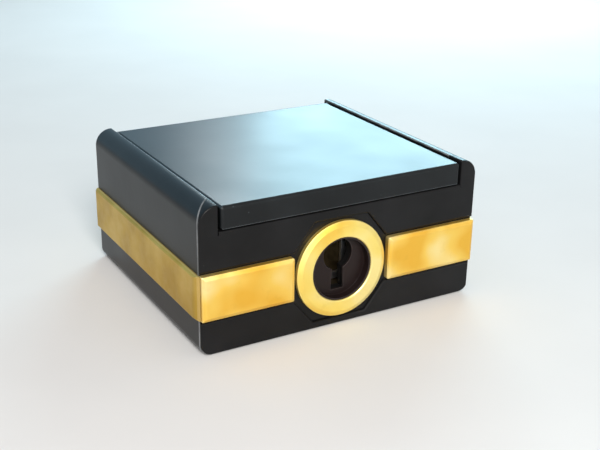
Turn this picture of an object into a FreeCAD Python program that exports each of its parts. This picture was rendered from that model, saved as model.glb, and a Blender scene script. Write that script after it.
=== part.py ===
import FreeCAD, Part
import os
import re
import Sketcher

# Magic drawer box: a black lacquered box with a hinged lid, a full-face drawer and a secret tray.
# The frame: +X to the right seen from the front, the front faces -Y, +Z up.
# The origin lies on the table, at the middle of the whole box with its gold plates and ring.

# Driving sizes in millimetres, one sheet cell each.
SIZES = {
    # case
    "width": 90.0, "depth": 78.0,
    "side_wall": 5.6, "top_round": 5.0, "foot_round": 3.0, "cheek_round": 0.4,
    "floor_thick": 3.5, "tongue_low": 1.2, "tongue_thick": 1.2, "tongue_reach": 1.5,
    "back_thick": 5.0, "mitre_land": 0.9, "mitre_gap": 0.15,
    "deck_thick": 2.5, "deck_reach": 1.2, "well_depth": 6.5,
    "rail_thick": 3.0, "rail_gap": 0.4, "rail_ease": 0.3, "rail_round": 0.8,
    "runner_width": 6.0, "runner_height": 0.8, "runner_round": 0.3, "runner_inset": 3.0,
    # lid
    "lid_thick": 3.2, "lid_drop": 0.6, "lid_gap": 0.7, "lid_bevel": 0.6,
    "lip_height": 6.5, "lip_gap": 0.35, "lip_edge": 0.5, "lip_corner": 0.8,
    "hinge_inset": 3.4, "cove_drop": 0.4,
    "pin_radius": 0.8, "pin_ease": 0.05, "pin_hold": 4.0, "pin_reach": 2.8, "pin_end_gap": 0.3,
    # drawer front
    "front_thick": 6.5, "front_lift": 0.4, "front_bevel": 0.4, "channel_depth": 1.0, "channel_gap": 0.5,
    "recess_foot": 1.75, "recess_head": 3.1, "recess_corner": 6.5, "rim_round": 0.9,
    "horn_seat": 1.0, "ledge_round": 0.5,
    # gold plates
    "band_height": 13.2, "plate_proud": 1.3, "plate_bevel": 1.1, "plate_bevel_deep": 0.6, "plate_taper": 2.0,
    "plate_inset": 0.8, "front_inset": 0.1, "plate_corner": 0.7, "band_ring_gap": 1.0,
    # ring and keyhole
    "ring_shift": -1.4, "ring_radius": 14.5, "ring_width": 4.9, "ring_room": 0.65, "ring_proud": 1.0,
    "ring_shoulder": 1.5, "ring_shoulder_deep": 0.7, "ring_edge": 0.3,
    "cup_gap": 0.05, "cup_wall": 0.5, "cup_sunk": 3.0, "cup_rim_sunk": 0.45, "cup_floor": 0.7,
    "key_radius": 4.7, "key_head_room": 1.3, "key_top_half": 1.6, "key_foot_half": 2.1, "key_foot_room": 2.45,
    # drawer box
    "side_gap": 0.4, "run_gap": 0.25, "top_gap": 0.6, "rear_gap": 0.8,
    "tray_front_thick": 4.0, "tray_wall": 2.2, "tray_round": 0.5,
    "groove_rise": 0.8, "groove_reach": 1.0, "tray_floor_thick": 1.6,
    # secret tray
    "secret_length": 28.0, "secret_wall": 1.5, "secret_floor": 1.4, "secret_gap": 0.3, "secret_lift": 0.25,
    "secret_stop": 0.2,
    "secret_corner": 1.2, "secret_inner": 1.5, "thumb_radius": 9.0, "thumb_drop": 4.5,
    # lock
    "mortise_depth": 1.5, "lock_half": 9.0, "lock_foot_room": 0.95, "lock_head_room": 1.15, "lock_wall": 0.6,
    "lock_plate": 0.8, "flange_side": 3.6, "flange_end": 1.5, "flange_round": 1.0,
    "bolt_thick": 1.2, "bolt_back_gap": 0.2, "bolt_half": 6.6, "bolt_rail": 1.5, "bolt_foot": 2.0,
    "bolt_foot_room": 1.0, "bolt_head_room": 3.2, "tongue_half": 3.0, "bolt_sunk": 0.2, "bolt_play": 0.2,
    "bolt_slot_gap": 0.2, "leaf_thick": 0.25, "leaf_bow": 0.9, "leaf_end": 2.0, "leaf_gap": 0.05,
    # screws
    "screw_radius": 0.7, "screw_head": 1.3, "screw_head_deep": 0.6, "screw_slot": 0.35,
    "screw_slot_deep": 0.3,
    "lock_screw_length": 3.4, "lock_screw_inset": 1.8,
    "tray_screw_length": 7.4, "tray_screw_side": 9.0,
    # catch
    "bush_radius": 2.7, "bush_flange": 4.6, "bush_flange_thick": 1.0, "bush_slot_gap": 0.3,
    "bush_shoulder": 4.4, "bush_top": 6.3, "button_radius": 2.1, "button_gap": 0.1, "button_lift": 0.3,
    "button_head": 1.0, "stem_radius": 1.25, "stem_gap": 0.08, "stem_tip": 6.95, "stem_taper": 0.2,
    "clip_groove": 0.9, "clip_radius": 2.1, "clip_thick": 0.3, "clip_lift": 0.05, "clip_mouth": 0.75,
    "spring_wire": 0.35, "spring_pitch": 1.245, "spring_gap": 0.15, "mortise_gap": 0.4,
    # cutters
    "overrun": 1.0,
}
SPRING_TURNS = 2
PICK_SHARE = 0.002

# Places worked out from the sizes.
PLACES = {
    "front": "-depth/2",
    "back": "front + depth",
    "half": "width/2",
    "inner": "width/2 - side_wall",
    "ring_bore": "ring_radius - ring_width",
    "recess_flat": "ring_radius + ring_room",
    "band_mid": "front_lift + recess_foot + recess_flat",
    "band_low": "band_mid - band_height/2",
    "band_high": "band_mid + band_height/2",
    "notch_low": "band_mid + recess_flat + recess_head",
    "horn_low": "notch_low - horn_seat",
    "lip_low": "notch_low + lip_gap",
    "lid_top": "lip_low + lip_height",
    "height": "lid_top + lid_drop",
    "lid_half": "inner - lid_gap",
    "axis_y": "back - hinge_inset",
    "axis_z": "lid_top - lid_thick",
    "cove_radius": "sqrt(hinge_inset*hinge_inset + cove_drop*cove_drop)",
    "cove_inner": "axis_z - sqrt(cove_radius*cove_radius - (back_thick - hinge_inset)*(back_thick - hinge_inset))",
    "front_rear": "front + front_thick",
    "case_front": "front_rear + rail_gap",
    "case_rear": "back - back_thick",
    "side_start": "front + mitre_land",
    "mitre_start": "front + mitre_land - mitre_gap*sqrt(2)",
    "tongue_high": "tongue_low + tongue_thick",
    "deck_high": "axis_z - well_depth",
    "deck_low": "deck_high - deck_thick",
    "tray_low": "floor_thick + runner_height + run_gap",
    "tray_high": "deck_low - top_gap",
    "tray_half": "inner - side_gap",
    "tray_start": "front_rear + tray_front_thick",
    "tray_end": "case_rear - rear_gap",
    "tray_floor_low": "tray_low + groove_rise",
    "tray_floor_high": "tray_floor_low + tray_floor_thick",
    "secret_half": "tray_half - tray_wall - secret_gap",
    "secret_start": "tray_start + secret_gap",
    "secret_end": "secret_start + secret_length",
    "secret_low": "tray_floor_high + secret_lift",
    "secret_high": "tray_high - secret_lift",
    "catch_y": "secret_start + secret_length/2",
    "drawer_travel": "tray_end - tray_wall - secret_end - secret_stop",
    "ring_x": "ring_shift",
    "channel_floor": "front + channel_depth",
    "cup_face": "front - ring_proud + cup_sunk",
    "cup_base": "cup_face + cup_floor",
    "cup_rim": "front - ring_proud + cup_rim_sunk",
    "key_z": "band_mid + ring_bore - key_head_room - key_radius",
    "key_foot": "band_mid - ring_bore + key_foot_room",
    "lock_low": "key_foot - lock_foot_room",
    "lock_high": "key_z + key_radius + lock_head_room",
    "bolt_low": "lock_low + bolt_foot_room",
    "bolt_high": "lock_high - bolt_head_room",
    "bolt_window_low": "bolt_low + bolt_foot",
    "lock_start": "front_rear - mortise_depth",
    "lock_rear_inner": "tray_start - lock_plate",
    "bolt_rear": "lock_rear_inner - bolt_back_gap",
    "bolt_start": "bolt_rear - bolt_thick",
    "bolt_top": "tray_high - bolt_sunk",
    "leaf_side": "ring_x + lock_half - lock_wall - leaf_gap",
}

doc = FreeCAD.newDocument("magic_drawer_box")
sheet = doc.addObject("Spreadsheet::Sheet", "sizes")
for row, (alias, size) in enumerate(SIZES.items(), start=1):
    sheet.set(f"A{row}", str(size))
    sheet.setAlias(f"A{row}", alias)
doc.recompute()


# Writes a formula of plain size and place names as an expression on the sheet's cells.
def formula(text):
    def swap(match):
        word = match.group(0)
        if word in PLACES:
            return "(" + formula(PLACES[word]) + ")"
        return "sizes." + word if word in SIZES else word
    return re.sub(r"[a-z_]+", swap, str(text))


def value(text):
    return float(sheet.evalExpression(formula(text)))


def bind(item, path, text):
    item.setExpression(path, formula(text))


def place(item, x, y, z):
    for axis, text in zip("xyz", (x, y, z)):
        bind(item, "Placement.Base." + axis, text)


# Block between low and high formulas on each axis.
def block(label, x, y, z):
    item = doc.addObject("Part::Box", label)
    for path, (low, high) in zip(("Length", "Width", "Height"), (x, y, z)):
        bind(item, path, f"({high}) - ({low})")
    place(item, x[0], y[0], z[0])
    return item


TURNS = {
    "x": FreeCAD.Rotation(FreeCAD.Vector(0, 1, 0), 90),
    "y": FreeCAD.Rotation(FreeCAD.Vector(1, 0, 0), -90),
    "z": FreeCAD.Rotation(),
    "-y": FreeCAD.Rotation(FreeCAD.Vector(1, 0, 0), 90),
}


# Cylinder that runs along an axis from its start point.
def rod(label, axis, start, radius, length):
    item = doc.addObject("Part::Cylinder", label)
    bind(item, "Radius", radius)
    bind(item, "Height", length)
    item.Placement = FreeCAD.Placement(FreeCAD.Vector(0, 0, 0), TURNS[axis])
    place(item, *start)
    return item


def join(label, *pieces):
    item = doc.addObject("Part::MultiFuse", label)
    item.Shapes = list(pieces)
    item.Refine = True
    return item


def cut(label, base, *tools):
    item = doc.addObject("Part::Cut", label)
    item.Base = base
    item.Tool = tools[0] if len(tools) == 1 else join(label + "_cutter", *tools)
    item.Refine = True
    return item


def group(label, *pieces):
    item = doc.addObject("Part::Compound", label)
    item.Links = list(pieces)
    return item


def mirrored(label, source):
    item = doc.addObject("Part::Mirroring", label)
    item.Source = source
    item.Normal = FreeCAD.Vector(1, 0, 0)
    return item


def new_body(label):
    return doc.addObject("PartDesign::Body", label)


# Empty sketch on one of the body's origin planes, moved along that plane's normal.
def new_sketch(body, plane, offset):
    sketch = body.newObject("Sketcher::SketchObject", body.Name + "_sketch")
    features = body.Origin.OriginFeatures
    sketch.AttachmentSupport = [([item for item in features if item.Role == plane + "_Plane"][0], "")]
    sketch.MapMode = "FlatFace"
    bind(sketch, "AttachmentOffset.Base.z", offset)
    return sketch


# Fixes one end or the centre of a sketch element at a point given by two formulas.
def pin_point(sketch, element, end, point):
    for kind, text in zip(("DistanceX", "DistanceY"), point):
        number = sketch.addConstraint(Sketcher.Constraint(kind, -1, 1, element, end, value(text)))
        bind(sketch, f"Constraints[{number}]", text)


# Arc of a circle from start to end, drawn anticlockwise, with its centre on the given side.
def arc_between(start, end, radius, side):
    chord = end - start
    across = FreeCAD.Vector(-chord.y, chord.x, 0).normalize() * side
    reach = max(radius * radius - (chord.Length / 2) ** 2, 0) ** 0.5
    top = (start + end) / 2 + across * (reach - radius)
    return Part.Arc(start, top, end) if side > 0 else Part.Arc(end, top, start)


# Closed outline: a point is (x, y), or (x, y, radius, side) where an arc runs on to the next point.
# Side is 1 where the arc's centre lies to the left of the way along, and -1 to the right.
def draw_outline(sketch, points):
    ends = [FreeCAD.Vector(value(point[0]), value(point[1]), 0) for point in points]
    for number, point in enumerate(points):
        following = (number + 1) % len(points)
        start, end = ends[number], ends[following]
        first = 1
        if len(point) == 2:
            sketch.addGeometry(Part.LineSegment(start, end))
        else:
            radius, side = point[2:]
            first = 1 if side > 0 else 2
            sketch.addGeometry(arc_between(start, end, value(radius), side))
            held = sketch.addConstraint(Sketcher.Constraint("Radius", number, value(radius)))
            bind(sketch, f"Constraints[{held}]", radius)
        pin_point(sketch, number, first, point[:2])
        pin_point(sketch, number, 3 - first, points[following][:2])


def draw_circle(sketch, centre, radius):
    spot = FreeCAD.Vector(value(centre[0]), value(centre[1]), 0)
    sketch.addGeometry(Part.Circle(spot, FreeCAD.Vector(0, 0, 1), value(radius)))
    pin_point(sketch, 0, 3, centre)
    held = sketch.addConstraint(Sketcher.Constraint("Radius", 0, value(radius)))
    bind(sketch, f"Constraints[{held}]", radius)


# A shape is an outline, or a circle given as (centre, radius).
def draw(sketch, shape):
    if len(shape) == 2:
        draw_circle(sketch, *shape)
    else:
        draw_outline(sketch, shape)


def finish_feature(body, feature):
    body.Tip = feature
    doc.recompute()
    return feature


# Solid from a shape, from low to high along the axis square to the plane.
def pad(body, plane, shape, low, high):
    sketch = new_sketch(body, plane, f"-({high})" if plane == "XZ" else low)
    draw(sketch, shape)
    feature = body.newObject("PartDesign::Pad", body.Name + "_pad")
    feature.Profile = sketch
    bind(feature, "Length", f"({high}) - ({low})")
    return finish_feature(body, feature)


# Cut from low to high along the axis square to the plane, and a check that it took something away.
def pocket(body, plane, shape, low, high):
    before = body.Tip.Shape.Volume
    sketch = new_sketch(body, plane, f"-({low})" if plane == "XZ" else high)
    draw(sketch, shape)
    feature = body.newObject("PartDesign::Pocket", body.Name + "_pocket")
    feature.Profile = sketch
    bind(feature, "Length", f"({high}) - ({low})")
    finish_feature(body, feature)
    if feature.Shape.Volume >= before:
        raise RuntimeError(body.Label + ": a pocket cut nothing")
    return feature


# Solid of revolution about the body's own Z axis, from points given as radius and height.
def turn(body, points):
    sketch = new_sketch(body, "XZ", "0")
    draw_outline(sketch, points)
    feature = body.newObject("PartDesign::Revolution", body.Name + "_turned")
    feature.Profile = sketch
    feature.ReferenceAxis = (sketch, ["V_Axis"])
    feature.Angle = 360
    return finish_feature(body, feature)


TOUCH = PICK_SHARE * value("side_wall")


# True where an edge or face lies wholly at the place, or between the two places, given for each named axis.
def lies(piece, **spots):
    box = piece.BoundBox
    spans = {"x": (box.XMin, box.XMax), "y": (box.YMin, box.YMax), "z": (box.ZMin, box.ZMax)}
    for axis, spot in spots.items():
        low, high = spot if isinstance(spot, tuple) else (spot, spot)
        if spans[axis][0] < value(low) - TOUCH or spans[axis][1] > value(high) + TOUCH:
            return False
    return True


def edges_at(body, *places):
    edges = enumerate(body.Tip.Shape.Edges, start=1)
    names = [f"Edge{number}" for number, edge in edges if any(lies(edge, **spot) for spot in places)]
    if len(names) == 0:
        raise RuntimeError(body.Label + ": no edge to finish at " + str(places))
    return names


def fillet(body, radius, *places):
    picked = (body.Tip, edges_at(body, *places))
    feature = body.newObject("PartDesign::Fillet", body.Name + "_fillet")
    feature.Base = picked
    bind(feature, "Radius", radius)
    return finish_feature(body, feature)


def chamfer(body, size, *places):
    picked = (body.Tip, edges_at(body, *places))
    feature = body.newObject("PartDesign::Chamfer", body.Name + "_chamfer")
    feature.Base = picked
    bind(feature, "Size", size)
    return finish_feature(body, feature)


def rectangle(x, y):
    return [(x[0], y[0]), (x[1], y[0]), (x[1], y[1]), (x[0], y[1])]


# Case side: quarter-round cheek, rounded foot, mitred front end, grooves and the hinge pin's bore.
def make_side():
    body = new_body("side_left")
    pad(body, "XZ", rectangle(("-half", "-inner"), ("0", "height")), "side_start", "back")
    fillet(body, "top_round", {"x": "-half", "z": "height"})
    fillet(body, "foot_round", {"x": "-half", "z": "0"})
    fillet(body, "cheek_round", {"x": "-inner", "z": "height"})
    mitre = [("-half - overrun", "side_start - overrun"), ("-inner + overrun", "side_start - overrun"),
             ("-inner + overrun", "side_start + side_wall + overrun")]
    pocket(body, "XY", mitre, "-overrun", "height + overrun")
    tongue = rectangle(("-inner - tongue_reach", "-inner + overrun"), ("tongue_low", "tongue_high"))
    pocket(body, "XZ", tongue, "case_front", "case_rear")
    deck = rectangle(("-inner - deck_reach", "-inner + overrun"), ("deck_low", "deck_high"))
    pocket(body, "XZ", deck, "case_front", "case_rear")
    bore = (("axis_y", "axis_z"), "pin_radius + pin_ease")
    pocket(body, "YZ", bore, "-inner - pin_reach - pin_end_gap", "-inner")
    return body


def make_floor():
    span = ("case_front", "case_rear")
    panel = block("floor_board", ("-inner", "inner"), span, ("0", "floor_thick"))
    reach = ("-inner - tongue_reach", "inner + tongue_reach")
    tongue = block("floor_tongue", reach, span, ("tongue_low", "tongue_high"))
    hole = rod("floor_hole", "z", ("0", "catch_y", "-overrun"), "bush_radius", "floor_thick + 2*overrun")
    seat = rod("floor_seat", "z", ("0", "catch_y", "-overrun"), "bush_flange", "bush_flange_thick + overrun")
    return cut("floor_panel", join("floor_whole", panel, tongue), hole, seat)


# Case back with a cove along its top, in which the lid's barrel turns.
def make_back():
    body = new_body("back_panel")
    outline = [("case_rear", "0"), ("back", "0"), ("back", "axis_z - cove_drop", "cove_radius", -1),
               ("case_rear", "cove_inner")]
    pad(body, "YZ", outline, "-inner", "inner")
    return body


def make_deck():
    reach = ("-inner - deck_reach", "inner + deck_reach")
    board = block("deck_board", reach, ("case_front", "case_rear"), ("deck_low", "deck_high"))
    slot = block("bolt_slot",
                 ("ring_x - tongue_half - bolt_slot_gap", "ring_x + tongue_half + bolt_slot_gap"),
                 ("bolt_start - bolt_slot_gap", "bolt_rear + bolt_slot_gap"),
                 ("deck_low - overrun", "deck_high + overrun"))
    return cut("well_floor", board, slot)


def make_rail():
    body = new_body("front_rail")
    section = rectangle(("case_front", "case_front + rail_thick"), ("deck_high", "axis_z - rail_ease"))
    pad(body, "YZ", section, "-inner", "inner")
    fillet(body, "rail_round", {"y": "case_front + rail_thick", "z": "axis_z - rail_ease"})
    return body


def make_runner():
    body = new_body("runner_left")
    strip = ("-inner + runner_inset", "-inner + runner_inset + runner_width")
    top = "floor_thick + runner_height"
    pad(body, "XZ", rectangle(strip, ("floor_thick", top)), "case_front", "case_rear")
    fillet(body, "runner_round", {"x": strip[0], "z": top}, {"x": strip[1], "z": top})
    return body


# Gold plates on the case: flat with bevelled borders, those of the sides with a long taper at the front.
def make_case_plates():
    left = new_body("band_left")
    span = ("band_low", "band_high")
    outline = [("-half", "front"), ("-half", "back"), ("-half - plate_proud", "back"),
               ("-half - plate_proud", "front + plate_taper")]
    pad(left, "XY", outline, *span)
    chamfer_plate(left, "x", "-half - plate_proud")
    rear = new_body("band_back")
    width = ("-half + plate_inset", "half - plate_inset")
    pad(rear, "XZ", rectangle(width, span), "back", "back + plate_proud")
    chamfer_plate(rear, "y", "back + plate_proud")
    return left, mirrored("band_right", left), rear


# Wide shallow bevel round the outer face: size along the face, a smaller depth into the plate.
def chamfer_plate(body, axis, spot):
    faces = enumerate(body.Tip.Shape.Faces, start=1)
    picked = (body.Tip, [f"Face{number}" for number, face in faces if lies(face, **{axis: spot})])
    feature = body.newObject("PartDesign::Chamfer", body.Name + "_bevel")
    feature.Base = picked
    feature.ChamferType = "Two distances"
    bind(feature, "Size", "plate_bevel_deep")
    bind(feature, "Size2", "plate_bevel")
    return finish_feature(body, feature)


# Gold plate beside the ring, with rounded corners at the ring's end.
def make_front_plate(label, outer, near):
    body = new_body(label)
    outline = rectangle((outer, near), ("band_low", "band_high"))
    pad(body, "XZ", outline, "front - plate_proud", "channel_floor")
    chamfer_plate(body, "y", "front - plate_proud")
    fillet(body, "plate_corner", {"x": near, "z": "band_low"}, {"x": near, "z": "band_high"})
    return body


# Slanting upright cut across an end at x = end, through two points of the plan that are given as a distance
# inwards from the end and a place along Y. The sign is "-" at the left end and "" at the right one.
def slant(body, sign, end, near, far, corner_y):
    out, back = ("-", "+") if sign else ("+", "-")
    outline = [(f"{sign}{end} {back} ({near[0]})", near[1]), (f"{sign}{end} {back} ({far[0]})", far[1]),
               (f"{sign}{end} {out} overrun", corner_y)]
    pocket(body, "XY", outline, "-overrun", "height + overrun")


# Bevel on the upright front edge at an end.
def nose(body, sign, end, bevel):
    slant(body, sign, end, ("-overrun", f"front + {bevel} + overrun"),
          (f"{bevel} + overrun", "front - overrun"),
          "front - overrun")


# Mitre behind an end of a front piece.
def mitre(body, sign):
    slant(body, sign, "half", ("-overrun", "mitre_start - overrun"),
          ("front_rear - mitre_start + overrun", "front_rear + overrun"), "front_rear + overrun")


# Lid: plate and thick front lip, with a round barrel along the rear edge that turns in the back's cove.
def make_lid():
    body = new_body("lid")
    section = [("front", "lip_low"), ("front_rear", "lip_low"), ("front_rear", "axis_z"),
               ("axis_y", "axis_z"),
               ("axis_y", "lid_top"), ("front", "lid_top")]
    pad(body, "YZ", section, "-lid_half", "lid_half")
    fillet(body, "lip_corner", {"x": "-lid_half", "z": "lip_low"}, {"x": "lid_half", "z": "lip_low"})
    chamfer(body, "lid_bevel", {"y": "front", "z": "lid_top"},
            {"x": "-lid_half", "z": "lid_top"}, {"x": "lid_half", "z": "lid_top"})
    for sign in ("-", ""):
        nose(body, sign, "lid_half", "lip_edge")
    pad(body, "YZ", (("axis_y", "axis_z"), "lid_thick"), "-lid_half", "lid_half")
    bore = (("axis_y", "axis_z"), "pin_radius")
    pocket(body, "YZ", bore, "lid_half - pin_hold", "lid_half")
    pocket(body, "YZ", bore, "-lid_half", "-lid_half + pin_hold")
    return body


# Screw with a sunk cheese head; it points to -Y from the face at rear.
def make_screw(label, x, rear, z, length):
    shank = rod(label + "_shank", "-y", (x, rear, z), "screw_radius", length)
    head = rod(label + "_head", "-y", (x, rear, z), "screw_head", "screw_head_deep")
    return join(label + "_whole", shank, head)


def slotted(label, screw, x, rear, z):
    slot = block(label + "_slot", (f"{x} - screw_head - overrun", f"{x} + screw_head + overrun"),
                 (f"{rear} - screw_slot_deep", f"{rear} + overrun"),
                 (f"{z} - screw_slot/2", f"{z} + screw_slot/2"))
    return cut(label, screw, slot)


# A set of screws: whole ones, which cut their holes, and slotted ones, which are the pieces.
def make_screws(label, xs, zs, length):
    spots = [(x, z) for x in xs for z in zs]
    names = [f"{label}_{number}" for number in range(1, len(spots) + 1)]
    whole = [make_screw(name, x, "tray_start", z, length) for name, (x, z) in zip(names, spots)]
    pieces = [slotted(name, screw, x, "tray_start", z) for name, screw, (x, z) in zip(names, whole, spots)]
    return group(label, *pieces), join(label + "_holes", *whole)


# Keyhole: round above, a slot that widens a little towards its foot.
def make_keyhole():
    deep = ("cup_face - overrun", "lock_start + lock_wall")
    eye = rod("keyhole_eye", "y", ("ring_x", deep[0], "key_z"), "key_radius", f"({deep[1]}) - ({deep[0]})")
    slot = new_body("keyhole_slot")
    outline = [("ring_x - key_foot_half", "key_foot"), ("ring_x + key_foot_half", "key_foot"),
               ("ring_x + key_top_half", "key_z"), ("ring_x - key_top_half", "key_z")]
    pad(slot, "XZ", outline, *deep)
    return join("keyhole", eye, slot)




# Full-face drawer front: a seat for each horn, mitred ends, plate channel, octagonal recess and lock mortise.
def make_drawer_front(keyhole, holes):
    body = new_body("drawer_front_blank")
    outline = [("-half", "front_lift"), ("half", "front_lift"), ("half", "horn_low"), ("inner", "horn_low"),
               ("inner", "notch_low"), ("-inner", "notch_low"), ("-inner", "horn_low"), ("-half", "horn_low")]
    pad(body, "XZ", outline, "front", "front_rear")
    channel = rectangle(("front - overrun", "channel_floor"),
                        ("band_low - channel_gap", "band_high + channel_gap"))
    pocket(body, "YZ", channel, "-half - overrun", "half + overrun")
    side = "recess_flat"
    tall = "(band_height/2 + channel_gap)"
    nick = "(recess_flat - recess_corner)"
    corners = [(side, tall), (nick, side), ("-" + nick, side), ("-" + side, tall),
               ("-" + side, "-" + tall), ("-" + nick, "-" + side), (nick, "-" + side), (side, "-" + tall)]
    recess = [("ring_x + " + x, "band_mid + " + z) for x, z in corners]
    pocket(body, "XZ", recess, "front - overrun", "channel_floor")
    fillet(body, "rim_round", {"y": "front", "z": ("band_mid - recess_flat", "band_mid + recess_flat")})
    fillet(body, "ledge_round", {"y": "front", "z": "notch_low"})
    fillet(body, "foot_round", {"x": "-half", "z": "front_lift"}, {"x": "half", "z": "front_lift"})
    for sign in ("-", ""):
        mitre(body, sign)
        nose(body, sign, "half", "front_bevel")
    lock = rectangle(("ring_x - lock_half", "ring_x + lock_half"), ("lock_low", "lock_high"))
    pocket(body, "XZ", lock, "lock_start", "front_rear + overrun")
    seat = rod("cup_seat", "y", ("ring_x", "channel_floor - overrun", "band_mid"), "ring_bore",
               "cup_base - (channel_floor) + overrun")
    return cut("drawer_front", body, seat, keyhole, holes)


# Horn: the block beside the lid's lip that carries the cheek on over the drawer front.
def make_horn():
    body = new_body("front_horn_left")
    pad(body, "XZ", rectangle(("-half", "-inner"), ("horn_low", "height")), "front", "front_rear")
    fillet(body, "top_round", {"x": "-half", "z": "height"})
    fillet(body, "cheek_round", {"x": "-inner", "z": "height"})
    mitre(body, "-")
    chamfer(body, "front_bevel", {"x": "-half", "y": "front"})
    return body


def make_ring():
    body = new_body("lock_ring")
    tall = "(channel_depth + ring_proud)"
    section = [("ring_bore", "0"), ("ring_radius", "0"), ("ring_radius", f"{tall} - ring_shoulder_deep"),
               ("ring_radius - ring_shoulder", tall), ("ring_bore + ring_edge", tall),
               ("ring_bore", f"{tall} - ring_edge")]
    turn(body, section)
    stand(body, "-y", "ring_x", "channel_floor", "band_mid")
    return body


def stand(body, axis, x, y, z):
    body.Placement = FreeCAD.Placement(FreeCAD.Vector(0, 0, 0), TURNS[axis])
    place(body, x, y, z)


# Black cup that lines the ring and is let into the drawer front: a flat face with the keyhole and a thin rim.
def make_keyhole_plate(keyhole):
    body = new_body("keyhole_cup")
    outer = "ring_bore - cup_gap"
    face = "cup_floor"
    rim = "cup_base - (cup_rim)"
    section = [("0", "0"), (outer, "0"), (outer, rim), (f"{outer} - cup_wall", rim),
               (f"{outer} - cup_wall", face), ("0", face)]
    turn(body, section)
    stand(body, "-y", "ring_x", "cup_base", "band_mid")
    return cut("keyhole_plate", body, keyhole)


# Floor board of the drawer, with the slot that lets the catch bush pass.
def make_tray_floor():
    reach = "tray_half - tray_wall + groove_reach"
    ends = ("tray_start - groove_reach", "tray_end - tray_wall + groove_reach")
    board = block("tray_board", (f"-({reach})", reach), ends, ("tray_floor_low", "tray_floor_high"))
    wide = "bush_radius + bush_slot_gap"
    slot_height = "tray_floor_thick + 2*overrun"
    low = "tray_floor_low - overrun"
    slot = block("tray_slot", (f"-({wide})", wide), ("catch_y", "catch_y + drawer_travel"),
                 (low, f"{low} + {slot_height}"))
    near = rod("tray_slot_near", "z", ("0", "catch_y", low), wide, slot_height)
    far = rod("tray_slot_far", "z", ("0", "catch_y + drawer_travel", low), wide, slot_height)
    return cut("tray_floor", board, slot, near, far)


# Boards of the drawer box, grooved for its floor; the front one also holds the lock.
def make_tray(floor, lock_cutters):
    span = ("tray_low", "tray_high")
    whole = block("tray_front_board", ("-tray_half", "tray_half"), ("front_rear", "tray_start"), span)
    front = cut("tray_front", whole, floor, *lock_cutters)
    body = new_body("tray_left_board")
    wall = ("-tray_half", "-tray_half + tray_wall")
    pad(body, "XZ", rectangle(wall, span), "tray_start", "tray_end")
    fillet(body, "tray_round", {"x": wall[0], "z": "tray_high"}, {"x": wall[1], "z": "tray_high"})
    left = cut("tray_left", body, floor)
    rear = block("tray_back_board", ("-tray_half + tray_wall", "tray_half - tray_wall"),
                 ("tray_end - tray_wall", "tray_end"), span)
    return front, left, mirrored("tray_right", left), cut("tray_back", rear, floor)


# Secret tray: a frame with rounded corners and a thumb dip in each end, and a floor let in flush below.
# The floor has a square mortise for the catch.
def make_secret_tray():
    frame = new_body("secret_tray")
    sides = ("-secret_half", "secret_half")
    ends = ("secret_start", "secret_end")
    pad(frame, "XY", rectangle(sides, ends), "secret_low", "secret_high")
    fillet(frame, "secret_corner", *[{"x": x, "y": y} for x in sides for y in ends])
    inside = ("-secret_half + secret_wall", "secret_half - secret_wall")
    deep = ("secret_start + secret_wall", "secret_end - secret_wall")
    pocket(frame, "XY", rectangle(inside, deep), "secret_low", "secret_high")
    fillet(frame, "secret_inner", *[{"x": x, "y": y} for x in inside for y in deep])
    dip = (("0", "secret_high + thumb_radius - thumb_drop"), "thumb_radius")
    pocket(frame, "XZ", dip, "secret_start - overrun", "secret_end + overrun")
    floor = new_body("secret_floor")
    pad(floor, "XY", rectangle(inside, deep), "secret_low", "secret_low + secret_floor")
    fillet(floor, "secret_inner", *[{"x": x, "y": y} for x in inside for y in deep])
    reach = "clip_radius + mortise_gap"
    mortise = rectangle((f"-({reach})", reach), (f"catch_y - ({reach})", f"catch_y + {reach}"))
    pocket(floor, "XY", mortise, "secret_low", "secret_low + secret_floor")
    return frame, floor


# Lock case: a shallow brass box with a flange let into the inner face of the drawer.
def make_lock_case(lock_solid, mouth, holes):
    room = block("lock_inside", ("ring_x - lock_half + lock_wall", "ring_x + lock_half - lock_wall"),
                 ("lock_start - overrun", "lock_rear_inner"),
                 ("lock_low + lock_wall", "lock_high - lock_wall"))
    return cut("lock_case", lock_solid, room, mouth, holes)


# Way out for the bolt's tongue, through the top of the lock case and of the drawer box.
def make_mouth():
    return block("bolt_mouth", ("ring_x - tongue_half - bolt_play", "ring_x + tongue_half + bolt_play"),
                 ("bolt_start - bolt_play", "lock_rear_inner"),
                 ("lock_high - overrun", "tray_high + overrun"))


def make_lock_solid():
    box = block("lock_box", ("ring_x - lock_half", "ring_x + lock_half"), ("lock_start", "tray_start"),
                ("lock_low", "lock_high"))
    flange = new_body("lock_flange")
    wide = ("ring_x - lock_half - flange_side", "ring_x + lock_half + flange_side")
    tall = ("lock_low - flange_end", "lock_high + flange_end")
    pad(flange, "XZ", rectangle(wide, tall), "lock_rear_inner", "tray_start")
    fillet(flange, "flange_round", *[{"x": x, "z": z} for x in wide for z in tall])
    return join("lock_solid", box, flange)


# Bolt: a frame whose window leaves the keyhole clear, and a tongue that rises into the deck.
def make_bolt():
    body = new_body("lock_bolt")
    left = "ring_x - bolt_half"
    right = "ring_x + bolt_half"
    outline = [(left, "bolt_low"), (right, "bolt_low"), (right, "bolt_high"),
               ("ring_x + tongue_half", "bolt_high"),
               ("ring_x + tongue_half", "bolt_top"), ("ring_x - tongue_half", "bolt_top"),
               ("ring_x - tongue_half", "bolt_high"), (left, "bolt_high")]
    pad(body, "XZ", outline, "bolt_start", "bolt_rear")
    window = rectangle(("ring_x - bolt_half + bolt_rail", "ring_x + bolt_half - bolt_rail"),
                       ("bolt_window_low", "bolt_high - bolt_rail"))
    pocket(body, "XZ", window, "bolt_start", "bolt_rear")
    return body


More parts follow.
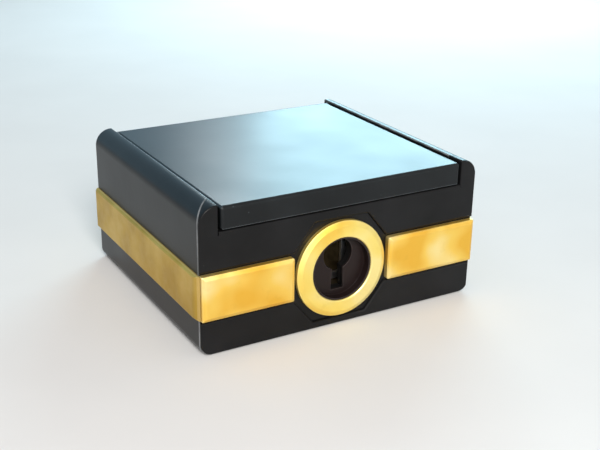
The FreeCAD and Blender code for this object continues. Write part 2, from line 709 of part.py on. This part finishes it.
# Leaf spring that bears on the bolt's edge and holds it up or down.
def make_leaf():
    body = new_body("bolt_spring")
    low = "bolt_low + leaf_end"
    high = "bolt_high - leaf_end"
    rise = f"({high} - ({low}))"
    outer_radius = f"({rise}*{rise}/(8*leaf_bow) + leaf_bow/2)"
    outline = [("leaf_side - leaf_thick", low), ("leaf_side", low, outer_radius, -1),
               ("leaf_side", high), ("leaf_side - leaf_thick", high, outer_radius, 1)]
    pad(body, "XZ", outline, "bolt_start", "bolt_rear")
    return body


# Brass bush in the case floor: its nose is the drawer's stop and guides the catch button.
def make_bush():
    body = new_body("catch_bush")
    section = [("button_radius + button_gap", "0"), ("bush_flange", "0"),
               ("bush_flange", "bush_flange_thick"),
               ("bush_radius", "bush_flange_thick"), ("bush_radius", "bush_top"),
               ("stem_radius + stem_gap", "bush_top"),
               ("stem_radius + stem_gap", "bush_shoulder"), ("button_radius + button_gap", "bush_shoulder")]
    turn(body, section)
    stand(body, "z", "0", "catch_y", "0")
    return body


def make_button():
    body = new_body("catch_button")
    top = "button_lift + button_head"
    groove = "bush_top + clip_lift"
    section = [("0", "button_lift"), ("button_radius", "button_lift"), ("button_radius", top),
               ("stem_radius", top), ("stem_radius", groove), ("clip_groove", groove),
               ("clip_groove", f"{groove} + clip_thick"), ("stem_radius", f"{groove} + clip_thick"),
               ("stem_radius - stem_taper", "stem_tip"), ("0", "stem_tip")]
    turn(body, section)
    stand(body, "z", "0", "catch_y", "0")
    return body


def make_clip():
    low = "bush_top + clip_lift"
    disc = rod("clip_disc", "z", ("0", "catch_y", low), "clip_radius", "clip_thick")
    eye = rod("clip_eye", "z", ("0", "catch_y", f"{low} - overrun"), "clip_groove", "clip_thick + 2*overrun")
    mouth = block("clip_mouth_cut", ("-clip_mouth", "clip_mouth"),
                  ("catch_y", "catch_y + clip_radius + overrun"),
                  (f"{low} - overrun", f"{low} + clip_thick + overrun"))
    return cut("catch_clip", disc, eye, mouth)


# Coil spring of square wire between the button's head and the bush's shoulder.
def make_spring():
    body = new_body("catch_spring")
    wire = ("-spring_wire/2", "spring_wire/2")
    sketch = new_sketch(body, "XZ", "0")
    draw(sketch, rectangle(("stem_radius + spring_gap", "stem_radius + spring_gap + spring_wire"), wire))
    feature = body.newObject("PartDesign::AdditiveHelix", "catch_spring_coil")
    feature.Profile = sketch
    feature.ReferenceAxis = (sketch, ["V_Axis"])
    feature.Mode = "pitch-turns-angle"
    bind(feature, "Pitch", "spring_pitch")
    feature.Turns = SPRING_TURNS
    finish_feature(body, feature)
    stand(body, "z", "0", "catch_y", "button_lift + button_head + spring_wire")
    return body


side = make_side()
bands = make_case_plates()
keyhole = make_keyhole()
lock_solid = make_lock_solid()
bolt_mouth = make_mouth()
lock_xs = [f"ring_x {sign} (lock_half + lock_screw_inset)" for sign in "-+"]
lock_screws, lock_holes = make_screws("lock_screws", lock_xs, ["(lock_low + lock_high)/2"],
                                      "lock_screw_length")
tray_xs = ["-(tray_half - tray_screw_side)", "(tray_half - tray_screw_side)"]
tray_screws, tray_holes = make_screws("tray_screws", tray_xs, ["(tray_low + tray_high)/2"],
                                      "tray_screw_length")
all_holes = join("screw_holes", lock_holes, tray_holes)
tray_floor = make_tray_floor()
runner = make_runner()
horn = make_horn()
near_left = "ring_x - ring_radius - band_ring_gap"
near_right = "ring_x + ring_radius + band_ring_gap"

PARTS = [
    side, mirrored("side_right", side), make_floor(), make_back(), make_deck(), make_rail(),
    runner, mirrored("runner_right", runner), *bands,
    make_lid(),
    rod("lid_pin_left", "x", ("-inner - pin_reach", "axis_y", "axis_z"), "pin_radius",
        "pin_reach + lid_gap + pin_hold"),
    rod("lid_pin_right", "x", ("lid_half - pin_hold", "axis_y", "axis_z"), "pin_radius",
        "pin_reach + lid_gap + pin_hold"),
    make_drawer_front(keyhole, all_holes), horn, mirrored("front_horn_right", horn),
    make_front_plate("band_front_left", "-half + front_inset", near_left),
    make_front_plate("band_front_right", "half - front_inset", near_right),
    make_ring(), make_keyhole_plate(keyhole), make_lock_case(lock_solid, bolt_mouth, lock_holes),
    make_bolt(), make_leaf(), lock_screws, tray_screws, tray_floor,
    *make_tray(tray_floor, (lock_solid, bolt_mouth, all_holes)), *make_secret_tray(),
    make_bush(), make_button(), make_clip(), make_spring(),
]
doc.recompute()

for item in doc.Objects:
    if "Invalid" in item.State or "Error" in item.State:
        raise RuntimeError(f"{item.Label} failed: {item.State}")
bad = [item.Label for item in PARTS
       if item.Shape.isNull() or not item.Shape.isValid() or len(item.Shape.Solids) == 0]
if bad:
    raise RuntimeError("no valid solid in " + ", ".join(bad))

os.makedirs("parts", exist_ok=True)
for item in PARTS:
    item.Shape.exportStep(f"parts/{item.Label}.step")
    box = item.Shape.BoundBox
    print(f"{item.Label}: {len(item.Shape.Solids)} solid(s), {box.XLength:.2f} x {box.YLength:.2f} x "
          f"{box.ZLength:.2f}, z {box.ZMin:.2f} to {box.ZMax:.2f}")
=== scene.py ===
import math

import bpy
from mathutils import Euler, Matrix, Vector

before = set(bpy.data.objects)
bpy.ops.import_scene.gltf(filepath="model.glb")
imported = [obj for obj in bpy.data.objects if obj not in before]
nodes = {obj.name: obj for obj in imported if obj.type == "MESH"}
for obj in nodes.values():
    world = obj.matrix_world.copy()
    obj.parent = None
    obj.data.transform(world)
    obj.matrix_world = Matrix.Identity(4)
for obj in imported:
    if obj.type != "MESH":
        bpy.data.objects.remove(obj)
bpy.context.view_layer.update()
MM = 0.001

# Edges: angles in degrees, lengths in metres
SHARP_ANGLE = 22.0
CRISP_ANGLE = 46.0
FLAT_ANGLE = 0.3
WELD_REACH = 0.002 * MM
BEVEL_SEGMENTS = 2
FACE_WEIGHT = 60
PLACE_DIGITS = 6

# In millimetres, along y: behind this the lid is the barrel of its hinge, whose edges aren't rounded
BARREL_START = 34.0

# The colour sockets of a Mix node share their names with others, so they are picked by their number
MIX_FIRST = 6
MIX_SECOND = 7
MIX_RESULT = 2

# Floor, in metres
FLOOR_REACH = 6.0
FLOOR_DROP = 0.02 * MM

# Camera: place in metres, turn in degrees, lens and sensor in millimetres, near and far end in metres
CAMERA_PLACE = (-0.144695, -0.261347, 0.136437)
CAMERA_TURN = (68.1056, -0.8875, -29.8797)
CAMERA_LENS = 61.41
CAMERA_SENSOR = 36.0
CAMERA_NEAR, CAMERA_FAR = 0.01, 20.0

# Lamps: place and target in metres, width and height in metres, power in watts, colour
LAMPS = {
    "key": ((-0.24, -0.62, 0.46), (0.0, 0.0, 0.02), (0.30, 0.30), 6.3, (1.0, 0.97, 0.93)),
    "sheen": ((0.41, 0.453, 0.262), (0.0, 0.0, 0.04), (0.34, 0.26), 2.5, (0.56, 0.88, 1.0)),
    "window": ((0.222, 0.507, 0.29), (-0.012, -0.004, 0.042), (0.06, 0.075), 0.15, (0.9, 0.97, 1.0)),
}

# World: colour and strength of the light, then the sky as it shows in front and at the back
WORLD_COLOUR = (0.95, 0.97, 1.0)
WORLD_STRENGTH = 0.42
SKY_FRONT = (0.80, 0.79, 0.77)
SKY_BACK = (0.44, 0.70, 0.88)
SKY_TURNS_FROM, SKY_TURNS_TO = -0.1, 0.7


def shade(colour, factor, lift=0.0):
    """The colour times factor, plus lift."""
    return tuple(factor * part + lift for part in colour)


class Finish:
    """One Principled material under construction. Its textures read object coordinates, in metres."""

    def __init__(self, name, roughness=0.5, metallic=0.0, specular=0.5):
        self.material = bpy.data.materials.new(name)
        self.material.use_nodes = True
        self.tree = self.material.node_tree
        self.shader = self.tree.nodes["Principled BSDF"]
        self.shader.inputs["Roughness"].default_value = roughness
        self.shader.inputs["Metallic"].default_value = metallic
        self.shader.inputs["Specular IOR Level"].default_value = specular
        self.coords = self.tree.nodes.new("ShaderNodeTexCoord").outputs["Object"]
        self.relief = None

    def link(self, source, target):
        self.tree.links.new(source, target)

    def stretched(self, stretch):
        """Object coordinates times stretch: a small number draws a texture out along its axis."""
        mapping = self.tree.nodes.new("ShaderNodeMapping")
        mapping.inputs["Scale"].default_value = stretch
        self.link(self.coords, mapping.inputs["Vector"])
        return mapping.outputs["Vector"]

    def noise(self, size, detail, stretch=(1.0, 1.0, 1.0), distortion=0.0):
        """Noise whose features are about size metres across."""
        node = self.tree.nodes.new("ShaderNodeTexNoise")
        node.inputs["Scale"].default_value = 1.0 / size
        node.inputs["Detail"].default_value = detail
        node.inputs["Distortion"].default_value = distortion
        self.link(self.stretched(stretch), node.inputs["Vector"])
        return node.outputs["Fac"]

    def ramp(self, fac, *stops):
        """Colours for fac. Each stop is a value of fac and the colour there."""
        node = self.tree.nodes.new("ShaderNodeValToRGB")
        elements = node.color_ramp.elements
        while len(elements) < len(stops):
            elements.new(0.5)
        for element, (place, colour) in zip(elements, stops):
            element.position = place
            element.color = (*colour, 1.0)
        self.link(fac, node.inputs["Fac"])
        return node.outputs["Color"]

    def grey(self, fac, low, high, start=0.3, end=0.7):
        """A number that goes from low to high while fac goes from start to end."""
        node = self.tree.nodes.new("ShaderNodeMapRange")
        node.inputs["From Min"].default_value = start
        node.inputs["From Max"].default_value = end
        node.inputs["To Min"].default_value = low
        node.inputs["To Max"].default_value = high
        self.link(fac, node.inputs["Value"])
        return node.outputs["Result"]

    def times(self, first, second):
        node = self.tree.nodes.new("ShaderNodeMath")
        node.operation = "MULTIPLY"
        self.link(first, node.inputs[0])
        self.link(second, node.inputs[1])
        return node.outputs["Value"]

    def cover(self, fac, under, colour):
        """The colour laid over what under gives, fully where fac is 1."""
        node = self.tree.nodes.new("ShaderNodeMix")
        node.data_type = "RGBA"
        self.link(fac, node.inputs["Factor"])
        self.link(under, node.inputs[MIX_FIRST])
        node.inputs[MIX_SECOND].default_value = (*colour, 1.0)
        return node.outputs[MIX_RESULT]

    def specks(self, size, share):
        """Round specks in a share of cells that are size metres across: 1 inside, 0 outside."""
        core, rim = 0.06, 0.12
        blend = 0.01
        node = self.tree.nodes.new("ShaderNodeTexVoronoi")
        node.inputs["Scale"].default_value = 1.0 / size
        self.link(self.coords, node.inputs["Vector"])
        near = self.grey(node.outputs["Distance"], low=1.0, high=0.0, start=core, end=rim)
        chosen = self.tree.nodes.new("ShaderNodeSeparateColor")
        self.link(node.outputs["Color"], chosen.inputs["Color"])
        picked = self.grey(chosen.outputs["Red"], low=1.0, high=0.0, start=share, end=share + blend)
        return self.times(near, picked)

    def edges(self, reach):
        """1 on convex edges, fading to 0 about reach metres away from them."""
        full, none = 0.06, 0.35
        samples = 12
        node = self.tree.nodes.new("ShaderNodeAmbientOcclusion")
        node.samples = samples
        node.inside = True
        node.only_local = True
        node.inputs["Distance"].default_value = reach
        return self.grey(node.outputs["AO"], low=1.0, high=0.0, start=1.0 - none, end=1.0 - full)

    def colour(self, source):
        self.link(source, self.shader.inputs["Base Color"])

    def roughness(self, source):
        self.link(source, self.shader.inputs["Roughness"])

    def bump(self, source, depth):
        """Adds relief to what is there: source 0 to 1 is depth metres."""
        node = self.tree.nodes.new("ShaderNodeBump")
        node.inputs["Strength"].default_value = 1.0
        node.inputs["Distance"].default_value = depth
        self.link(source, node.inputs["Height"])
        if self.relief is not None:
            self.link(self.relief, node.inputs["Normal"])
        self.relief = node.outputs["Normal"]
        self.link(self.relief, self.shader.inputs["Normal"])


def lacquer(name, dark, pale, roughness, specular, peel, grain, edge_highlight_colour=None, reach=0.0):
    """Black lacquer with faint clouds, dust and orange peel. If a colour for the edges is given, convex
    edges are lightened to it in patches: a painted highlight.
    """
    cloud_size, patch_size, gloss_size = 16 * MM, 4 * MM, 18 * MM
    peel_size, grain_size = 2.4 * MM, 0.45 * MM
    dust_size, dust_share = 2.2 * MM, 0.06
    dust_factor, dust_lift = 2.5, 0.008
    gloss_spread = 0.03
    finish = Finish(name, specular=specular)
    body = finish.ramp(finish.noise(cloud_size, detail=4.0), (0.35, dark), (0.7, pale))
    body = finish.cover(finish.specks(dust_size, dust_share), body, shade(pale, dust_factor, dust_lift))
    # Painted highlight: convex edges lightened in patches to the given edge colour
    if edge_highlight_colour:
        patchy = finish.grey(finish.noise(patch_size, detail=4.0), low=0.45, high=1.0, start=0.38, end=0.58)
        body = finish.cover(finish.times(finish.edges(reach), patchy), body, edge_highlight_colour)
    finish.colour(body)
    finish.roughness(finish.grey(finish.noise(gloss_size, detail=1.0), low=roughness - gloss_spread,
                                 high=roughness + gloss_spread, start=0.2, end=0.8))
    finish.bump(finish.noise(peel_size, detail=1.0), peel)
    finish.bump(finish.noise(grain_size, detail=2.0), grain)
    return finish.material


def gold(name, deep, warm, cream, edge):
    """Satin gold lacquer on metal: cloudy, brushed along the plates, paler on the edges, which is a painted
    highlight.
    """
    cloud_size, stain_size, gloss_size = 15 * MM, 2.8 * MM, 3 * MM
    brush_size, brush_depth = 0.3 * MM, 0.005 * MM
    dent_size, dent_depth = 1.8 * MM, 0.008 * MM
    edge_reach, stain_factor = 0.7 * MM, 0.62
    brush_stretch = (0.1, 0.1, 1.0)
    finish = Finish(name, metallic=0.8)
    body = finish.ramp(finish.noise(cloud_size, detail=1.5), (0.38, deep), (0.5, warm), (0.62, cream))
    stain = finish.grey(finish.noise(stain_size, detail=6.0), low=0.0, high=0.18, start=0.6, end=0.84)
    aged = finish.cover(stain, body, shade(deep, stain_factor))
    # The edges' paler colour is a painted highlight on the bevels
    edge_highlight_mask = finish.grey(finish.edges(edge_reach), low=0.0, high=0.6, start=0.0, end=1.0)
    finish.colour(finish.cover(edge_highlight_mask, aged, edge))
    finish.roughness(finish.grey(finish.noise(gloss_size, detail=6.0), low=0.36, high=0.5))
    finish.bump(finish.noise(brush_size, detail=3.0, stretch=brush_stretch), brush_depth)
    finish.bump(finish.noise(dent_size, detail=2.0), dent_depth)
    return finish.material


def metal(name, low, high, roughness, drawn):
    """Bare metal with stains and fine scratches. drawn is the stretch of the scratches."""
    stain_size, gloss_size = 3 * MM, 1.2 * MM
    scratch_size, scratch_depth = 0.25 * MM, 0.004 * MM
    smoother, rougher = 0.07, 0.1
    finish = Finish(name, metallic=1.0)
    finish.colour(finish.ramp(finish.noise(stain_size, detail=5.0), (0.3, low), (0.7, high)))
    finish.roughness(finish.grey(finish.noise(gloss_size, detail=6.0), low=roughness - smoother,
                                 high=roughness + rougher))
    finish.bump(finish.noise(scratch_size, detail=3.0, stretch=drawn), scratch_depth)
    return finish.material


def wood(name, dark, pale, along):
    """Stained wood with rings and pores, whose grain runs along the axis of that number."""
    ring_size, ring_waviness = 2.6 * MM, 0.4
    pore_size, pore_depth = 0.5 * MM, 0.02 * MM
    along_grain = 0.08
    late_factor, pore_factor = 0.75, 0.3
    finish = Finish(name, specular=0.35)
    stretch = tuple(along_grain if axis == along else 1.0 for axis in range(3))
    rings = finish.noise(ring_size, detail=5.0, stretch=stretch, distortion=ring_waviness)
    body = finish.ramp(rings, (0.3, dark), (0.52, pale), (0.72, shade(pale, late_factor)))
    pores = finish.grey(finish.noise(pore_size, detail=3.0, stretch=stretch), low=0.0, high=0.7,
                        start=0.56, end=0.7)
    finish.colour(finish.cover(pores, body, shade(dark, pore_factor)))
    finish.roughness(finish.grey(rings, low=0.5, high=0.66))
    finish.bump(finish.noise(pore_size, detail=3.0, stretch=stretch), pore_depth)
    return finish.material


# Colours, and the depths of the lacquer's relief
DARK, SOOT = (0.0042, 0.0042, 0.0046), (0.0088, 0.0088, 0.0096)
WALNUT_DARK, WALNUT_PALE = (0.030, 0.013, 0.008), (0.095, 0.045, 0.024)
PEEL, FINE_PEEL = 0.008 * MM, 0.005 * MM
GRAIN, COARSE_GRAIN = 0.0012 * MM, 0.002 * MM

BLACK = lacquer("black_lacquer", DARK, SOOT, roughness=0.36, specular=0.20, peel=PEEL, grain=GRAIN)
# The sides' edges are lightened to pale grey: a painted highlight along the rounded edges
CASE = lacquer("black_lacquer_painted_highlight", DARK, SOOT, roughness=0.33, specular=0.24, peel=PEEL, grain=GRAIN,
               edge_highlight_colour=(0.26, 0.27, 0.28), reach=0.55 * MM)
# The lid's black is a little bluer and its edges are lightened to blue-grey: a painted reflection of the
# blue sky and a painted edge highlight
LID = lacquer("black_lacquer_lid", (0.0045, 0.0055, 0.0065), (0.0095, 0.0115, 0.013), roughness=0.315,
              specular=0.24, peel=FINE_PEEL, grain=GRAIN, edge_highlight_colour=(0.14, 0.165, 0.18), reach=0.42 * MM)
# The keyhole plate's edges are lightened a little: a faint painted highlight
ENAMEL = lacquer("black_enamel", (0.0085, 0.0045, 0.0045), (0.015, 0.0085, 0.008), roughness=0.40,
                 specular=0.22, peel=PEEL, grain=COARSE_GRAIN, edge_highlight_colour=(0.06, 0.05, 0.05), reach=0.22 * MM)
GOLD = gold("gold_plate", (0.88, 0.50, 0.06), (0.96, 0.64, 0.125), (0.99, 0.78, 0.32), (1.0, 0.82, 0.38))
# The side and back bands are the plates' gold made about half as bright: painted shade
GOLD_PAINTED_SHADE = gold("gold_band_painted_shade", (0.47, 0.29, 0.043), (0.53, 0.335, 0.055), (0.59, 0.39, 0.085), (0.72, 0.50, 0.18))
RING = gold("gold_ring", (0.94, 0.62, 0.10), (0.98, 0.76, 0.19), (1.0, 0.84, 0.34), (1.0, 0.86, 0.45))
# The lock's brass is made nearly black: painted shade for the dark inside of the keyhole, where the lock
# shows
BRASS_PAINTED_SHADE = metal("lock_brass", (0.06, 0.044, 0.022), (0.12, 0.088, 0.044), roughness=0.45,
              drawn=(1.0, 0.15, 1.0))
STEEL = metal("steel", (0.42, 0.43, 0.45), (0.62, 0.62, 0.63), roughness=0.37, drawn=(0.15, 1.0, 1.0))
WOOD_X = wood("stained_wood_across", WALNUT_DARK, WALNUT_PALE, along=0)
WOOD_Y = wood("stained_wood_along", WALNUT_DARK, WALNUT_PALE, along=1)

# Node: material, bevel width in millimetres (0 leaves the edges as they are)
LOOKS = {
    "side_left": (CASE, 0.22), "side_right": (CASE, 0.22), "floor_panel": (BLACK, 0.15),
    "back_panel": (BLACK, 0.2), "drawer_front": (BLACK, 0.0), "lid": (LID, 0.22),
    "front_horn_left": (BLACK, 0.0), "front_horn_right": (BLACK, 0.0),
    "well_floor": (WOOD_X, 0.1), "front_rail": (WOOD_X, 0.2), "runner_left": (WOOD_Y, 0.1),
    "runner_right": (WOOD_Y, 0.1), "tray_floor": (WOOD_X, 0.1), "tray_front": (WOOD_X, 0.15),
    "tray_left": (WOOD_Y, 0.15), "tray_right": (WOOD_Y, 0.15), "tray_back": (WOOD_X, 0.15),
    "secret_tray": (WOOD_X, 0.12), "secret_floor": (WOOD_X, 0.1),
    "band_left": (GOLD_PAINTED_SHADE, 0.2), "band_right": (GOLD_PAINTED_SHADE, 0.2), "band_back": (GOLD_PAINTED_SHADE, 0.2),
    "band_front_left": (GOLD, 0.15), "band_front_right": (GOLD, 0.15), "lock_ring": (RING, 0.12),
    "keyhole_plate": (ENAMEL, 0.1), "lock_case": (BRASS_PAINTED_SHADE, 0.1), "catch_bush": (BRASS_PAINTED_SHADE, 0.1),
    "catch_button": (BRASS_PAINTED_SHADE, 0.08), "lid_pin_left": (STEEL, 0.08), "lid_pin_right": (STEEL, 0.08),
    "lock_bolt": (STEEL, 0.08), "bolt_spring": (STEEL, 0.04), "lock_screws": (STEEL, 0.06),
    "tray_screws": (STEEL, 0.06), "catch_clip": (STEEL, 0.04), "catch_spring": (STEEL, 0.04),
}

# Node: which corners, by their place in millimetres, may have a rounded edge. Elsewhere all may
KEEP = {"lid": lambda x, y, z: y < BARREL_START}


def sharp_edges(mesh):
    """The corners' rounded places, and the pairs of places whose edge is sharper than SHARP_ANGLE."""
    spots = [tuple(round(c, PLACE_DIGITS) for c in vertex.co) for vertex in mesh.vertices]
    normals = {}
    for face in mesh.polygons:
        corners = list(face.vertices)
        for first, second in zip(corners, corners[1:] + corners[:1]):
            normals.setdefault(frozenset((spots[first], spots[second])), []).append(face.normal.copy())
    limit = math.cos(math.radians(SHARP_ANGLE))
    sharp = {pair for pair, found in normals.items() if len(found) == 2 and found[0].dot(found[1]) < limit}
    return spots, sharp


def paint(mesh, material):
    """Gives the whole mesh the material, and drops its stored normals."""
    if mesh.materials:
        mesh.materials[0] = material
    else:
        mesh.materials.append(material)
    for face in mesh.polygons:
        face.use_smooth = True
        face.material_index = 0
    if "custom_normal" in mesh.attributes:
        mesh.attributes.remove(mesh.attributes["custom_normal"])


def weigh(mesh, keep):
    """Marks the sharp edges for the bevel, where keep lets them be rounded."""
    spots, sharp = sharp_edges(mesh)
    weights = mesh.attributes.new("bevel_weight_edge", "FLOAT", "EDGE")
    for edge in mesh.edges:
        ends = [spots[corner] for corner in edge.vertices]
        chosen = keep is None or all(keep(*(c / MM for c in spot)) for spot in ends)
        weights.data[edge.index].value = float(chosen and frozenset(ends) in sharp)


def soften(obj, bevel):
    """Merges flat faces, bevels the marked edges by bevel millimetres and keeps large faces flat."""
    weld = obj.modifiers.new("weld", "WELD")
    weld.merge_threshold = WELD_REACH
    flat = obj.modifiers.new("flat_faces", "DECIMATE")
    flat.decimate_type = "DISSOLVE"
    flat.angle_limit = math.radians(FLAT_ANGLE)
    if bevel:
        soft = obj.modifiers.new("soft_edges", "BEVEL")
        soft.width = bevel * MM
        soft.segments = BEVEL_SEGMENTS
        soft.limit_method = "WEIGHT"
        soft.use_clamp_overlap = False
    split = obj.modifiers.new("crisp_edges", "EDGE_SPLIT")
    split.split_angle = math.radians(CRISP_ANGLE)
    shading = obj.modifiers.new("flat_shading", "WEIGHTED_NORMAL")
    shading.weight = FACE_WEIGHT
    shading.keep_sharp = True


def make_floor():
    """A plain pale floor just under the box."""
    cloud_size = 60 * MM
    grain_size, grain_depth = 1.5 * MM, 0.02 * MM
    dim, bright = (0.74, 0.735, 0.73), (0.77, 0.765, 0.76)
    left, right = -FLOOR_REACH, FLOOR_REACH
    mesh = bpy.data.meshes.new("floor")
    corners = [(left, left, 0), (right, left, 0), (right, right, 0), (left, right, 0)]
    mesh.from_pydata(corners, [], [(0, 1, 2, 3)])
    floor = bpy.data.objects.new("floor", mesh)
    bpy.context.scene.collection.objects.link(floor)
    floor.location.z = -FLOOR_DROP
    finish = Finish("pale_floor", roughness=0.85, specular=0.2)
    finish.colour(finish.ramp(finish.noise(cloud_size, detail=4.0), (0.3, dim), (0.7, bright)))
    finish.bump(finish.noise(grain_size, detail=3.0), grain_depth)
    mesh.materials.append(finish.material)


def area_light(name, place, target, size, power, colour):
    """A soft lamp at place that faces target."""
    data = bpy.data.lights.new(name, "AREA")
    data.shape = "RECTANGLE"
    data.size, data.size_y = size
    data.energy = power
    data.color = colour
    light = bpy.data.objects.new(name, data)
    bpy.context.scene.collection.objects.link(light)
    light.location = place
    light.rotation_mode = "QUATERNION"
    light.rotation_quaternion = (Vector(target) - Vector(place)).to_track_quat("-Z", "Y")
    light.visible_camera = False


def sky_colour(tree):
    """The sky's colour by direction: SKY_FRONT, and towards the back SKY_BACK."""
    split = tree.nodes.new("ShaderNodeSeparateXYZ")
    tree.links.new(tree.nodes.new("ShaderNodeTexCoord").outputs["Generated"], split.inputs["Vector"])
    depth = tree.nodes.new("ShaderNodeMapRange")
    depth.interpolation_type = "SMOOTHSTEP"
    depth.inputs["From Min"].default_value = SKY_TURNS_FROM
    depth.inputs["From Max"].default_value = SKY_TURNS_TO
    tree.links.new(split.outputs["Y"], depth.inputs["Value"])
    tint = tree.nodes.new("ShaderNodeMix")
    tint.data_type = "RGBA"
    tint.inputs[MIX_FIRST].default_value = (*SKY_FRONT, 1.0)
    tint.inputs[MIX_SECOND].default_value = (*SKY_BACK, 1.0)
    tree.links.new(depth.outputs["Result"], tint.inputs["Factor"])
    return tint.outputs[MIX_RESULT]


def make_world():
    """Soft light from all round. The camera, glossy and clear surfaces see a pale sky instead."""
    world = bpy.data.worlds.new("studio")
    bpy.context.scene.world = world
    world.use_nodes = True
    tree = world.node_tree
    light = tree.nodes["Background"]
    light.inputs["Color"].default_value = (*WORLD_COLOUR, 1.0)
    light.inputs["Strength"].default_value = WORLD_STRENGTH
    sky = tree.nodes.new("ShaderNodeBackground")
    tree.links.new(sky_colour(tree), sky.inputs["Color"])
    rays = tree.nodes.new("ShaderNodeLightPath")
    total = rays.outputs["Is Camera Ray"]
    for kind in ("Is Glossy Ray", "Is Transmission Ray"):
        either = tree.nodes.new("ShaderNodeMath")
        either.operation = "MAXIMUM"
        tree.links.new(total, either.inputs[0])
        tree.links.new(rays.outputs[kind], either.inputs[1])
        total = either.outputs["Value"]
    both = tree.nodes.new("ShaderNodeMixShader")
    tree.links.new(total, both.inputs["Fac"])
    tree.links.new(light.outputs["Background"], both.inputs[1])
    tree.links.new(sky.outputs["Background"], both.inputs[2])
    tree.links.new(both.outputs["Shader"], tree.nodes["World Output"].inputs["Surface"])


def make_camera():
    """The camera of the photo, as fitted to the box's corners."""
    data = bpy.data.cameras.new("camera")
    data.sensor_width = CAMERA_SENSOR
    data.lens = CAMERA_LENS
    data.clip_start, data.clip_end = CAMERA_NEAR, CAMERA_FAR
    camera = bpy.data.objects.new("camera", data)
    bpy.context.scene.collection.objects.link(camera)
    camera.location = CAMERA_PLACE
    camera.rotation_euler = Euler([math.radians(angle) for angle in CAMERA_TURN], "XYZ")
    bpy.context.scene.camera = camera


for name, (material, bevel) in LOOKS.items():
    paint(nodes[name].data, material)
    weigh(nodes[name].data, KEEP.get(name))
    soften(nodes[name], bevel)

make_floor()
make_world()
for name, values in LAMPS.items():
    area_light(name, *values)
make_camera()
bpy.context.scene.view_settings.view_transform = "Standard"
